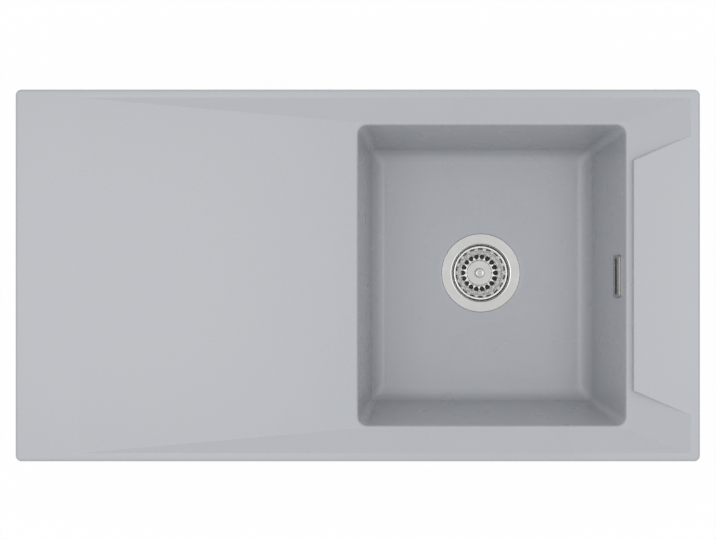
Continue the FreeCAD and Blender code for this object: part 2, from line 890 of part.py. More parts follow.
def overflow_screws():
    seat = cover_recess_depth - cover_thickness
    screws = []
    for y in (-cover_screw_spacing / 2, cover_screw_spacing / 2):
        head = peg(y, cover_screw_head_radius, seat - cover_screw_head_height, seat)
        shaft = peg(y, cover_screw_radius, seat, gasket_end + cover_screw_grip)
        screws.append(seated(head.fuse(shaft), on_wall))
    return screws


def overflow_gasket():
    lap = 2 * overflow_lap
    plate = slab(cover_length + lap, cover_height + lap, cover_corner, wall_through, gasket_end)
    gap = 2 * overflow_gasket_gap
    length, height = wall_slot_length + gap, wall_slot_height + gap
    opening = slab(length, height, wall_slot_height / 2, 0, gasket_end + eps)
    return seated(plate.cut(opening), on_wall)


def overflow_box():
    lap = 2 * overflow_lap
    flange = slab(
        cover_length + lap, cover_height + lap, cover_corner, gasket_end, gasket_end + plastic_wall
    )
    box = slab(box_length, box_height, cover_corner, gasket_end, box_back)
    hollow = slab(
        box_length - 2 * box_wall,
        box_height - 2 * box_wall,
        box_inner_corner,
        gasket_end - eps,
        box_back - box_wall,
    )
    spigot = post(pipe_x, drain.y, spigot_end_z, box_bottom_z + box_height / 2, spigot_outer)
    body = seated(flange.fuse(box), on_wall).fuse(spigot)
    bore = post(pipe_x, drain.y, spigot_end_z - eps, overflow_z, spigot_radius)
    body = body.cut([seated(hollow, on_wall), bore])
    end = cover_screw_spacing / 2
    grip_end = gasket_end + cover_screw_grip
    pegs = [peg(y, 2 * cover_screw_radius, gasket_end, grip_end) for y in (-end, end)]
    side = box_wall / 2
    webs = [
        block(gasket_end, grip_end, -box_length / 2, -end, -side, side),
        block(gasket_end, grip_end, end, box_length / 2, -side, side),
    ]
    inside = slab(box_length, box_height, cover_corner, gasket_end, box_back)
    webs = [web.common(inside) for web in webs]
    body = body.multiFuse([seated(shape, on_wall) for shape in pegs + webs])
    holes = [peg(y, cover_screw_radius, gasket_end - eps, grip_end + eps) for y in (-end, end)]
    return body.cut([seated(hole, on_wall) for hole in holes])


def union_nut():
    # about Z, with the mouth of the spigot at height 0 and the pipe leaving upwards
    inner = spigot_outer + union_thread_gap
    hole = pipe_radius + spigot_clearance
    end = cone_seal_length + union_cap
    nut = turned(
        (inner, -union_thread_length),
        (union_radius - union_chamfer, -union_thread_length),
        (union_radius, union_chamfer - union_thread_length),
        (union_radius, end - union_shoulder),
        (union_radius - union_shoulder, end),
        (hole, end),
        (hole, cone_seal_length),
        (inner, cone_seal_length),
    )
    grips = []
    for count in range(union_grips):
        turn = math.radians(360 * count / union_grips)
        x, y = union_radius * math.cos(turn), union_radius * math.sin(turn)
        grips.append(post(x, y, -union_thread_length - eps, end - 2 * union_cap, union_grip_radius))
    return nut.cut(grips)


def cone_seal():
    return turned(
        (pipe_radius, 0),
        (spigot_outer, 0),
        (spigot_outer, cone_seal_length - cone_seal_chamfer),
        (spigot_outer - cone_seal_chamfer, cone_seal_length),
        (pipe_radius, cone_seal_length),
    )


upper_union = Placement(Vector(pipe_x, drain.y, spigot_end_z), Rotation(Vector(1, 0, 0), 180))
lower_union = Placement(Vector(drain.x + port_end, drain.y, port_z), Rotation(Vector(0, 1, 0), 90))


def overflow_pipe():
    top = Vector(pipe_x, drain.y, spigot_end_z + pipe_in_socket)
    bend_start = Vector(pipe_x, drain.y, port_z + pipe_bend)
    bend_end = Vector(pipe_x - pipe_bend, drain.y, port_z)
    end = Vector(drain.x + port_end - pipe_in_socket, drain.y, port_z)
    diagonal = pipe_bend * math.sqrt(0.5)
    middle = Vector(pipe_x - pipe_bend + diagonal, drain.y, port_z + pipe_bend - diagonal)
    path = Part.Wire([
        Part.makeLine(top, bend_start),
        Part.Arc(bend_start, middle, bend_end).toShape(),
        Part.makeLine(bend_end, end),
    ])
    down = Vector(0, 0, -1)
    tubes = []
    for radius in (pipe_radius, pipe_radius - pipe_wall):
        circle = Part.Wire(Part.makeCircle(radius, top, down))
        tubes.append(path.makePipeShell([circle], True, False))
    return tubes[0].cut(tubes[1])


stone = stone_body()
drainboard, rim_back, rim_front, tap_deck_end = rim_shares(stone.cut(bowl_share()))
pieces = {
    "sink_moulding": drainboard,
    "sink_rim_back": rim_back,
    "sink_rim_front": rim_front,
    "sink_tap_deck": tap_deck_end,
    "sink_bowl": stone.common(bowl_share()),
    "clamp_blocks": Part.makeCompound(clamp_blocks(stone)),
    "rim_seal": seal_ring(0, seal_thickness),
    "clamp_anchors": Part.makeCompound(anchors()),
    "clamp_studs": Part.makeCompound(studs()),
    "strainer_gasket": strainer_gasket(),
    "strainer_cup": strainer_cup(),
    "lower_gasket": lower_gasket(),
    "waste_body": waste_body(),
    "waste_screw": waste_screw(),
    "basket": basket(),
    "basket_cap": basket_cap(),
    "basket_knob": basket_knob(),
    "basket_seal": basket_seal(),
    "basket_rivet": basket_rivet(),
    "overflow_cover": overflow_cover(),
    "overflow_screws": Part.makeCompound(overflow_screws()),
    "overflow_gasket": overflow_gasket(),
    "overflow_box": overflow_box(),
    "overflow_pipe": overflow_pipe(),
    "upper_union_nut": seated(union_nut(), upper_union),
    "lower_union_nut": seated(union_nut(), lower_union),
    "upper_cone_seal": seated(cone_seal(), upper_union),
    "lower_cone_seal": seated(cone_seal(), lower_union),
}
for number, (x, y, turn) in enumerate(clamps, 1):
    place = Placement(Vector(x, y, 0), Rotation(Vector(0, 0, 1), turn))
    pieces[f"claw_{number}"] = seated(claw(), place)
    pieces[f"wing_nut_{number}"] = seated(wing_nut(), place)

os.makedirs("parts", exist_ok=True)
for name, shape in pieces.items():
    shape.exportStep(f"parts/{name}.step")
    solids = len(shape.Solids)
    print(f"{name}: {solids} solid(s), {shape.Volume / 1000:.1f} cm3, valid {shape.isValid()}")
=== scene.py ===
import math

import bmesh
import bpy
from mathutils import Matrix, Vector


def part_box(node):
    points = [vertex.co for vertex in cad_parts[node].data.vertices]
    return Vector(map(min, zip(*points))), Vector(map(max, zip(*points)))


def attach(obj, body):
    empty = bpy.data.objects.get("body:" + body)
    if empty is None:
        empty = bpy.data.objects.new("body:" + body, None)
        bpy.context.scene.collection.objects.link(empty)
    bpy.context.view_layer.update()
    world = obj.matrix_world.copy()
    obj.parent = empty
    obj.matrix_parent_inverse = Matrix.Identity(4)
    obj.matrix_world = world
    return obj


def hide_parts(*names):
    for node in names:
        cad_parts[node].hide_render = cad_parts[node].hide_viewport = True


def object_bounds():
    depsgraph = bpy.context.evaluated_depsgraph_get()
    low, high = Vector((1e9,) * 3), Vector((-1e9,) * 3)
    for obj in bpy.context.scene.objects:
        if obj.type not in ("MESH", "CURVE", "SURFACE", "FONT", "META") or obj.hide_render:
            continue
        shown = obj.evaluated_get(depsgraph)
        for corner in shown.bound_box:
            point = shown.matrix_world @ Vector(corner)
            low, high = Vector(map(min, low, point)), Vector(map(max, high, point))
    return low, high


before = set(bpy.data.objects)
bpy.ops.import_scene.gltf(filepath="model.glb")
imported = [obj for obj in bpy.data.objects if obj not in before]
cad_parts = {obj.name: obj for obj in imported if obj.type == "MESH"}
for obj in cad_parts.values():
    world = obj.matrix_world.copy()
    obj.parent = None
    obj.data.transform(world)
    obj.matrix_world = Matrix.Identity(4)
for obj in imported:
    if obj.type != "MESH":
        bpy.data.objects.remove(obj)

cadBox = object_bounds()
mm = 0.001  # sizes below are in millimetres, in the frame of the solids
over = 1.0  # how far a tool or a joined form reaches past the surface that it meets


def boxOf(node):
    low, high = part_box(node)
    return low / mm, high / mm


stoneHigh = cadBox[1] / mm
cupLow, cupHigh = boxOf("strainer_cup")
drain = Vector(((cupLow.x + cupHigh.x) / 2, (cupLow.y + cupHigh.y) / 2, 0))

# mesh helpers: all lengths in millimetres


def vertsOf(made):
    return [item for item in made["geom"] if isinstance(item, bmesh.types.BMVert)]


def bevelled(bm, geom, affect, offset, segments):
    return bmesh.ops.bevel(
        bm, geom=geom, affect=affect, offset=offset * mm, segments=segments, profile=0.5, material=-1,
    )


def section(bm, points, closed=True, segments=4):
    # an outline across X and Z; each point is (across, up, rounding)
    verts = [bm.verts.new((across * mm, 0, up * mm)) for across, up, _ in points]
    following = verts[1:] + verts[:1] if closed else verts[1:]
    for pair in zip(verts, following):
        bm.edges.new(pair)
    for vert, point in zip(verts, points):
        if point[2]:
            bevelled(bm, [vert], "VERTICES", point[2], segments)
    return bm.verts[:] + bm.edges[:]


def tidy(bm, merge=1e-6):
    bmesh.ops.remove_doubles(bm, verts=bm.verts, dist=merge)
    bmesh.ops.recalc_face_normals(bm, faces=bm.faces)
    return bm


def spun(bm, geom, steps):
    # a full turn about Z
    bmesh.ops.spin(
        bm, geom=geom, cent=(0, 0, 0), axis=(0, 0, 1), angle=2 * math.pi, steps=steps, use_merge=True,
    )
    return tidy(bm)


def turned(points, closed=True, steps=96, segments=4):
    bm = bmesh.new()
    return spun(bm, section(bm, points, closed, segments), steps)


def pushed(bm, faces, vec):
    # faces drawn out into a closed solid
    made = bmesh.ops.extrude_face_region(bm, geom=faces)
    bmesh.ops.translate(bm, verts=vertsOf(made), vec=vec)
    return tidy(bm)


def rod(radius, low, high, steps=48, edge=0.0):
    return turned([(0, low, 0), (radius, low, edge), (radius, high, edge), (0, high, 0)], False, steps)


def prism(points, depth, edge=0.0, segments=2):
    # an outline in XZ pushed along Y, to both sides of the middle
    bm = bmesh.new()
    section(bm, points)
    face = bmesh.ops.contextual_create(bm, geom=bm.edges)["faces"][0]
    bmesh.ops.translate(bm, verts=bm.verts, vec=(0, -depth / 2 * mm, 0))
    pushed(bm, [face], (0, depth * mm, 0))
    if edge:
        softenEdges(bm, edge, segments)
    return bm


def softenEdges(bm, offset, segments=2, angle=40):
    sharp = [edge for edge in bm.edges if edge.calc_face_angle(0) > math.radians(angle)]
    bevelled(bm, sharp, "EDGES", offset, segments)


def plate(length, height, corner, low, high, edge=0.0, segments=3):
    # a rounded plate on edge: its length along Y, its height along Z, and from low to high along X
    bm = bmesh.new()
    verts = bmesh.ops.create_grid(bm, x_segments=1, y_segments=1, size=0.5)["verts"]
    bmesh.ops.scale(bm, verts=verts, vec=(height * mm, length * mm, 1))
    bevelled(bm, verts, "VERTICES", corner, 8)
    bmesh.ops.translate(bm, verts=bm.verts, vec=(0, 0, low * mm))
    pushed(bm, bm.faces[:], (0, 0, (high - low) * mm))
    bmesh.ops.rotate(bm, verts=bm.verts, cent=(0, 0, 0), matrix=Matrix.Rotation(math.radians(90), 3, "Y"))
    if edge:
        softenEdges(bm, edge, segments)
    return bm


def box(low, high, edge=0.0):
    bm = bmesh.new()
    bmesh.ops.create_cube(bm, size=1)
    size = [(b - a) * mm for a, b in zip(low, high)]
    middle = [(b + a) / 2 * mm for a, b in zip(low, high)]
    bmesh.ops.scale(bm, verts=bm.verts, vec=size)
    bmesh.ops.translate(bm, verts=bm.verts, vec=middle)
    if edge:
        softenEdges(bm, edge)
    return bm


def moved(bm, matrix):
    bmesh.ops.transform(bm, matrix=matrix, verts=bm.verts)
    return bm


def shifted(bm, x, y, z):
    bmesh.ops.translate(bm, verts=bm.verts, vec=(x * mm, y * mm, z * mm))
    return bm


def atDrain(bm):
    return shifted(bm, drain.x, drain.y, 0)


def meshOf(name, bm):
    mesh = bpy.data.meshes.new(name)
    bm.to_mesh(mesh)
    bm.free()
    return mesh


def placed(name, data):
    made = bpy.data.objects.new(name, data)
    bpy.context.scene.collection.objects.link(made)
    return made


def gathered(parts):
    # several meshes as one, not joined
    whole = bmesh.new()
    for part in parts:
        mesh = meshOf("part", part)
        whole.from_mesh(mesh)
        bpy.data.meshes.remove(mesh)
    return whole


def combined(base, steps):
    # steps are pairs of UNION or DIFFERENCE and a mesh
    held = [placed("held", meshOf("held", base))]
    for operation, tool in steps:
        held.append(placed("held", meshOf("held", tool)))
        step = held[0].modifiers.new("step", "BOOLEAN")
        step.operation = operation
        step.object = held[-1]
        step.solver = "EXACT"
    graph = bpy.context.evaluated_depsgraph_get()
    mesh = bpy.data.meshes.new_from_object(held[0].evaluated_get(graph))
    result = bmesh.new()
    result.from_mesh(mesh)
    bpy.data.meshes.remove(mesh)
    for item in held:
        old = item.data
        bpy.data.objects.remove(item)
        bpy.data.meshes.remove(old)
    bmesh.ops.remove_doubles(result, verts=result.verts, dist=1e-6)
    return result


def threaded(radius, pitch, depth, low, high, turnSteps=24):
    # a screw's thread as one closed solid about Z
    bm = bmesh.new()
    start = low - 1.37 * pitch  # no corner of the profile lies in the plane that ends the thread
    root = radius - depth
    points = [(root, start, 0), (root, start + pitch * 0.12, 0), (radius, start + pitch * 0.5, 0)]
    points += [(radius, start + pitch * 0.62, 0), (root, start + pitch, 0)]
    geom = section(bm, points, False)
    turns = math.ceil((high - low) / pitch) + 3
    bmesh.ops.spin(
        bm, geom=geom, cent=(0, 0, 0), axis=(0, 0, 1), angle=2 * math.pi * turns, steps=turnSteps * turns,
        dvec=(0, 0, pitch / turnSteps * mm), use_merge=False,
    )
    bmesh.ops.remove_doubles(bm, verts=bm.verts, dist=2e-6)
    for height, side in ((low, -1), (high, 1)):
        geom = bm.verts[:] + bm.edges[:] + bm.faces[:]
        cut = bmesh.ops.bisect_plane(
            bm, geom=geom, plane_co=(0, 0, height * mm), plane_no=(0, 0, side), clear_outer=True,
        )
        rim = [item for item in cut["geom_cut"] if isinstance(item, bmesh.types.BMEdge)]
        bmesh.ops.edgeloop_fill(bm, edges=rim)
    bmesh.ops.recalc_face_normals(bm, faces=bm.faces)
    return bm


def finished(name, bm, look, nodes, body="root", sharp=32):
    # look names the material; nodes are the CAD nodes that the piece stands for
    mesh = meshOf(name, bm)
    piece = placed(name, mesh)
    mesh.materials.append(materials[look])
    mesh.shade_smooth()
    mesh.set_sharp_from_angle(angle=math.radians(sharp))
    weighted = piece.modifiers.new("evenNormals", "WEIGHTED_NORMAL")
    weighted.keep_sharp = True
    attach(piece, body)
    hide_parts(*nodes)


# surfaces


def addNode(tree, kind, feeds=(), **settings):
    # feeds are pairs of a socket's name or number and a value or another node's output
    made = tree.nodes.new(kind)
    for key, value in settings.items():
        setattr(made, key, value)
    for key, value in feeds:
        if isinstance(value, bpy.types.NodeSocket):
            tree.links.new(value, made.inputs[key])
        else:
            made.inputs[key].default_value = value
    return made


def calc(tree, operation, first, second=0.0, third=0.0):
    feeds = ((0, first), (1, second), (2, third))
    return addNode(tree, "ShaderNodeMath", feeds, operation=operation).outputs[0]


def noise(tree, feeds, **settings):
    return addNode(tree, "ShaderNodeTexNoise", feeds, **settings).outputs[0]


def grainPattern(tree, vector, scale):
    # fine grain over slow drifts
    fine = noise(tree, (("Vector", vector), ("Scale", scale), ("Detail", 3.0), ("Roughness", 0.6)))
    slowScale = calc(tree, "MULTIPLY", scale, 0.012)
    slow = noise(tree, (("Vector", vector), ("Scale", slowScale), ("Detail", 2.0)))
    both = calc(tree, "MULTIPLY_ADD", slow, 0.45, calc(tree, "MULTIPLY", fine, 0.55))
    return calc(tree, "SUBTRACT", both, 0.5), calc(tree, "SUBTRACT", slow, 0.5), fine


def ringPattern(tree, vector, scale):
    # the fine rings that polishing leaves round an axis, and faint wipe marks
    parts = addNode(tree, "ShaderNodeSeparateXYZ", ((0, vector),)).outputs
    flat = addNode(tree, "ShaderNodeCombineXYZ", ((0, parts[0]), (1, parts[1]))).outputs[0]
    radius = addNode(tree, "ShaderNodeVectorMath", ((0, flat),), operation="LENGTH").outputs["Value"]
    along = calc(tree, "MULTIPLY", calc(tree, "ADD", radius, parts[2]), scale)
    turns = noise(tree, (("W", along), ("Scale", 1.0), ("Detail", 2.0)), noise_dimensions="1D")
    wipes = noise(tree, (("Vector", vector), ("Scale", 60.0), ("Detail", 3.0)))
    return calc(tree, "SUBTRACT", turns, 0.5), calc(tree, "SUBTRACT", wipes, 0.45), turns


def surfaceGroup(name, pattern):
    # tone multiplies the colour, rough adds to the roughness, and height is the relief in metres
    tree = bpy.data.node_groups.new(name, "ShaderNodeTree")
    kinds = {"Vector": "NodeSocketVector", "Normal": "NodeSocketVector"}
    for label in ("Vector", "Scale", "Tone Depth", "Rough Depth", "Height"):
        kind = kinds.get(label, "NodeSocketFloat")
        tree.interface.new_socket(name=label, in_out="INPUT", socket_type=kind)
    for label in ("Tone", "Rough", "Normal"):
        kind = kinds.get(label, "NodeSocketFloat")
        tree.interface.new_socket(name=label, in_out="OUTPUT", socket_type=kind)
    given, made = tree.nodes.new("NodeGroupInput"), tree.nodes.new("NodeGroupOutput")
    vector, scale, toneDepth, roughDepth, height = given.outputs[:5]
    worked, drift, relief = pattern(tree, vector, scale)
    bump = addNode(tree, "ShaderNodeBump", (("Distance", height), ("Height", relief)))
    tree.links.new(calc(tree, "MULTIPLY_ADD", worked, toneDepth, 1.0), made.inputs["Tone"])
    tree.links.new(calc(tree, "MULTIPLY", drift, roughDepth), made.inputs["Rough"])
    tree.links.new(bump.outputs[0], made.inputs["Normal"])
    return tree


grainGroup = surfaceGroup("surfaceGrain", grainPattern)
ringGroup = surfaceGroup("turnedRings", ringPattern)


def makeMaterial(name, look):
    material = bpy.data.materials.new(name)
    material.use_nodes = True
    tree = material.node_tree
    shader = tree.nodes["Principled BSDF"]
    shader.inputs["Metallic"].default_value = look.get("metal", 0.0)
    shader.inputs["Specular IOR Level"].default_value = look.get("specular", 0.5)
    spot = addNode(tree, "ShaderNodeTexCoord").outputs["Object"]
    centre = drain * mm if look.get("rings") else (0, 0, 0)
    feeds = (("Vector", spot), ("Location", centre))
    spot = addNode(tree, "ShaderNodeMapping", feeds, vector_type="TEXTURE")
    feeds = (
        ("Vector", spot.outputs[0]), ("Scale", look["scale"]), ("Tone Depth", look["toneDepth"]),
        ("Rough Depth", look["roughDepth"]), ("Height", look["height"]),
    )
    group = ringGroup if look.get("rings") else grainGroup
    worked = addNode(tree, "ShaderNodeGroup", feeds, node_tree=group).outputs
    feeds = ((0, look["colour"]), ("Scale", worked["Tone"]))
    colour = addNode(tree, "ShaderNodeVectorMath", feeds, operation="SCALE")
    tree.links.new(colour.outputs[0], shader.inputs["Base Color"])
    tree.links.new(calc(tree, "ADD", worked["Rough"], look["rough"]), shader.inputs["Roughness"])
    tree.links.new(worked["Normal"], shader.inputs["Normal"])
    return material


looks = {
    "castStone": {
        "colour": (0.450, 0.466, 0.494), "rough": 0.28, "scale": 1400.0, "toneDepth": 0.06,
        "roughDepth": 0.08, "height": 0.000012, "specular": 0.55,
    },
    "polishedSteel": {
        "colour": (0.53, 0.53, 0.525), "metal": 1.0, "rough": 0.16, "scale": 4000.0, "toneDepth": 0.08,
        "roughDepth": 0.12, "height": 0.000004, "rings": True,
    },
    # painted sheen: a paler, partly unmetallic copy of the cup's steel, so that the basket shows bright as
    # if it mirrored the lamps
    "steelWithPaintedSheen": {
        "colour": (0.93, 0.93, 0.92), "metal": 0.55, "rough": 0.22, "scale": 4000.0, "toneDepth": 0.05,
        "roughDepth": 0.10, "height": 0.000003, "rings": True,
    },
    # painted shade: the plate's steel is darkened for the shade of the bowl's wall it stands on; its grain
    # and roughness are the brushed finish
    "brushedSteelPaintedShade": {
        "colour": (0.40, 0.385, 0.365), "metal": 1.0, "rough": 0.27, "scale": 2500.0, "toneDepth": 0.12,
        "roughDepth": 0.15, "height": 0.000008,
    },
    "darkSteel": {
        "colour": (0.20, 0.20, 0.20), "metal": 1.0, "rough": 0.42, "scale": 1800.0, "toneDepth": 0.25,
        "roughDepth": 0.2, "height": 0.00001,
    },
    "zincSteel": {
        "colour": (0.56, 0.56, 0.55), "metal": 1.0, "rough": 0.38, "scale": 1800.0, "toneDepth": 0.25,
        "roughDepth": 0.25, "height": 0.00001,
    },
    "insertBrass": {
        "colour": (0.68, 0.49, 0.22), "metal": 1.0, "rough": 0.33, "scale": 2000.0, "toneDepth": 0.2,
        "roughDepth": 0.2, "height": 0.00001,
    },
    "sealFoam": {
        "colour": (0.045, 0.045, 0.047), "rough": 0.92, "scale": 1600.0, "toneDepth": 0.7,
        "roughDepth": 0.1, "height": 0.00025, "specular": 0.2,
    },
    "gasketRubber": {
        "colour": (0.028, 0.028, 0.030), "rough": 0.62, "scale": 2200.0, "toneDepth": 0.35,
        "roughDepth": 0.2, "height": 0.00003,
    },
    "clampPlastic": {
        "colour": (0.040, 0.041, 0.044), "rough": 0.48, "scale": 2600.0, "toneDepth": 0.3,
        "roughDepth": 0.2, "height": 0.00004,
    },
    "blockPlastic": {
        "colour": (0.13, 0.13, 0.135), "rough": 0.55, "scale": 2200.0, "toneDepth": 0.3,
        "roughDepth": 0.2, "height": 0.00005,
    },
    "wastePlastic": {
        "colour": (0.78, 0.78, 0.76), "rough": 0.34, "scale": 2200.0, "toneDepth": 0.05,
        "roughDepth": 0.14, "height": 0.00002,
    },
    "unionPlastic": {
        "colour": (0.62, 0.62, 0.61), "rough": 0.40, "scale": 2400.0, "toneDepth": 0.06,
        "roughDepth": 0.16, "height": 0.00003,
    },
}
materials = {name: makeMaterial(name, look) for name, look in looks.items()}
print("materials made")

# the stone, in millimetres

stone = {
    "outlineCorner": 8.0, "edgeRound": 3.5, "lipSide": 11.0, "lipBowlEnd": 13.0, "levelEnd": 80.0,
    "fall": 10.0, "panInset": 3.0, "crease": 0.8, "creaseShare": 0.018,
    "bowlLength": 362.0, "bowlSideGap": 47.0, "bowlEndGap": 98.0, "bowlDepth": 190.0,
    "draft": math.radians(7), "cornerTop": 13.0, "cornerFloor": 9.0, "mouthRound": 4.0,
    "floorRound": 22.0, "wall": 9.0, "roundSteps": 9, "edgeSteps": 6, "facetCorner": 1.5, "panLift": 1.5,
    "dishRadius": 130.0, "dishFall": 1.5, "recessDepth": 3.0,
    "recessEdge": ((64.5, -0.02), (62.0, 0.2), (58.4, 0.5), (57.8, 0.8)),  # radius and depth below the dish
    "holeRadius": 45.0, "seat": 8.0, "padRadius": 65.0,
    "sealInset": 2.5, "sealWidth": 7.0, "sealDepth": 3.0,
    "ledge": 8.3, "deckNear": 310.0, "deckFar": 377.0, "deckRound": 1.6, "deckSkin": 10.0,
    "deckRecessInset": 8.0, "tapHole": 17.5, "tapSpacing": 170.0, "tapFromEnd": 51.0, "tapSkin": 4.0,
    "ribWidth": 5.0, "ribDepth": 18.0, "ribSink": 6.0, "ribInset": 8.0, "ribX": 100.0, "ribY": 130.0,
    "blockDepth": 16.0, "anchorRadius": 4.5, "anchorLength": 12.0,
    "slotLength": 50.0, "slotHeight": 14.0, "slotDrop": 46.5, "slotReach": 15.0,
}
ringEdges = 64  # in each level ring of the stone, so that rings bridge edge to edge
slope = math.tan(stone["draft"])
lean = math.cos(stone["draft"])
top = stoneHigh.z
halfLength, halfWidth = stoneHigh.x, stoneHigh.y
openZ = top - stone["fall"]
floorZ = top - stone["bowlDepth"]
dishZ = floorZ - stone["dishFall"]
recessZ = dishZ - stone["recessDepth"]
padZ = recessZ - stone["seat"]
bowlRight = halfLength - stone["bowlEndGap"]
bowlLeft = bowlRight - stone["bowlLength"]
bowlSide = halfWidth - stone["bowlSideGap"]
clampSpots = []
for number in range(1, 7):
    studLow, studHigh = boxOf(f"wing_nut_{number}")
    clampSpots.append(((studLow.x + studHigh.x) / 2, (studLow.y + studHigh.y) / 2))


def edgesOf(verts):
    return list({edge for vert in verts for edge in vert.link_edges})


def rectangleRing(bm, low, high, corner, z):
    # a level rounded rectangle
    verts = bmesh.ops.create_grid(bm, x_segments=1, y_segments=1, size=0.5)["verts"]
    bmesh.ops.scale(bm, verts=verts, vec=((high[0] - low[0]) * mm, (high[1] - low[1]) * mm, 1))
    middle = ((low[0] + high[0]) / 2 * mm, (low[1] + high[1]) / 2 * mm, z * mm)
    bmesh.ops.translate(bm, verts=verts, vec=middle)
    rounded = bevelled(bm, verts, "VERTICES", corner, ringEdges // 4 - 1)["verts"]
    edges = edgesOf(rounded)
    bmesh.ops.delete(bm, geom=[rounded[0].link_faces[0]], context="FACES_ONLY")
    return edges


def circleRing(bm, radius, z):
    verts = bmesh.ops.create_circle(bm, segments=ringEdges, radius=radius * mm)["verts"]
    halfStep = Matrix.Rotation(math.pi / ringEdges, 3, "Z")
    bmesh.ops.rotate(bm, verts=verts, cent=(0, 0, 0), matrix=halfStep)
    bmesh.ops.translate(bm, verts=verts, vec=(drain.x * mm, drain.y * mm, z * mm))
    return edgesOf(verts)


def nextRing(bm, edges, fromRadius, radius, drop):
    # a further circle about the drain, drawn out of the last one
    verts = vertsOf(bmesh.ops.extrude_edge_only(bm, edges=edges))
    space = Matrix.Translation((-drain.x * mm, -drain.y * mm, 0))
    factor = radius / fromRadius
    bmesh.ops.scale(bm, verts=verts, vec=(factor, factor, 1), space=space)
    bmesh.ops.translate(bm, verts=verts, vec=(0, 0, -drop * mm))
    fresh = set(verts)
    return [edge for edge in edgesOf(verts) if fresh.issuperset(edge.verts)]


def bowlRing(bm, inset, z, grow=0.0):
    depth = min(max((openZ - z) / (openZ - floorZ), 0), 1)
    corner = stone["cornerTop"] + (stone["cornerFloor"] - stone["cornerTop"]) * depth + grow
    low = (bowlLeft + inset, -bowlSide + inset)
    high = (bowlRight - inset, bowlSide - inset)
    return rectangleRing(bm, low, high, corner, z)


def bendPlaces(grow):
    # inset and height round the foot of the bowl's wall, from the wall to the floor
    bend = stone["floorRound"] + grow
    bendZ = floorZ - grow + bend
    bendIn = (openZ - bendZ) * slope - grow + bend / lean
    steps = stone["roundSteps"]
    turns = [stone["draft"] + (math.pi / 2 - stone["draft"]) * step / steps for step in range(steps + 1)]
    return [(bendIn - bend * math.cos(turn), bendZ - bend * math.sin(turn)) for turn in turns]


def mouthPlaces():
    # inset and height over the rounded edge of the bowl, from the facets to the wall
    radius = stone["mouthRound"]
    steps = stone["edgeSteps"]
    turns = [math.pi / 2 + (stone["draft"] - math.pi / 2) * step / steps for step in range(steps + 1)]
    reach = radius * (slope - 1 / lean)
    return [(reach + radius * math.cos(turn), openZ - radius + radius * math.sin(turn)) for turn in turns]


def facetRing(bm, share, grow=0.0, drop=0.0):
    # a level ring on the facets, from the lip at share 0 to the bowl at share 1
    reach = 0 if drop else stone["mouthRound"] * (1 / lean - slope)
    lip = (
        (-halfLength + stone["levelEnd"] - grow, -halfWidth + stone["lipSide"] - grow),
        (halfLength - stone["lipBowlEnd"] + grow, halfWidth - stone["lipSide"] + grow),
    )
    foot = ((bowlLeft - reach, -bowlSide - reach), (bowlRight + reach, bowlSide + reach))
    low, high = [[a + (b - a) * share for a, b in zip(p, q)] for p, q in zip(lip, foot)]
    return rectangleRing(bm, low, high, stone["facetCorner"], top - drop - stone["fall"] * share)


def outlineRing(bm, inset, z):
    corner = max(stone["outlineCorner"] - inset, 1.0)
    low, high = (-halfLength + inset, -halfWidth + inset), (halfLength - inset, halfWidth - inset)
    return rectangleRing(bm, low, high, corner, z)


def stoneShell():
    bm = bmesh.new()
    rings = [outlineRing(bm, 0, 0), outlineRing(bm, 0, top - stone["edgeRound"])]
    radius, steps = stone["edgeRound"], stone["edgeSteps"]
    for step in range(1, steps + 1):
        turn = math.pi / 2 * step / steps
        rings.append(outlineRing(bm, radius * (1 - math.cos(turn)), top - radius + radius * math.sin(turn)))
    rings.append(facetRing(bm, 0, stone["crease"]))
    rings += [facetRing(bm, share) for share in (stone["creaseShare"], 1 - stone["creaseShare"])]
    rings += [bowlRing(bm, inset, z, -inset) for inset, z in mouthPlaces()]
    rings += [bowlRing(bm, inset, z) for inset, z in bendPlaces(0)]
    rings.append(circleRing(bm, stone["dishRadius"], floorZ))
    inner, rings = rings, []
    places = [(stone["dishRadius"], floorZ)]
    places += [(radius, dishZ - depth) for radius, depth in stone["recessEdge"]]
    places += [
        (stone["recessEdge"][-1][0], recessZ), (stone["holeRadius"], recessZ), (stone["holeRadius"], padZ),
        (stone["padRadius"], padZ), (stone["padRadius"], floorZ - stone["wall"]),
    ]
    last = inner[-1]
    for (oldRadius, oldZ), (radius, z) in zip(places, places[1:]):
        last = nextRing(bm, last, oldRadius, radius, oldZ - z)
    rings.append(last)
    outer = bendPlaces(stone["wall"])
    outer.reverse()
    rings += [bowlRing(bm, inset, z, stone["wall"]) for inset, z in outer]
    panZ = openZ - stone["wall"] + stone["panLift"]
    rings.append(bowlRing(bm, (openZ - panZ) * slope - stone["wall"], panZ, stone["wall"]))
    rings.append(facetRing(bm, 0, -stone["panInset"], top))
    far = stone["sealInset"] + stone["sealWidth"]
    rings += [outlineRing(bm, far, z) for z in (0, stone["sealDepth"])]
    rings += [outlineRing(bm, stone["sealInset"], z) for z in (stone["sealDepth"], 0)]
    for ring, following in [*zip(inner, inner[1:]), *zip(rings, rings[1:] + inner[:1])]:
        bmesh.ops.bridge_loops(bm, edges=ring + following)
    return tidy(bm)


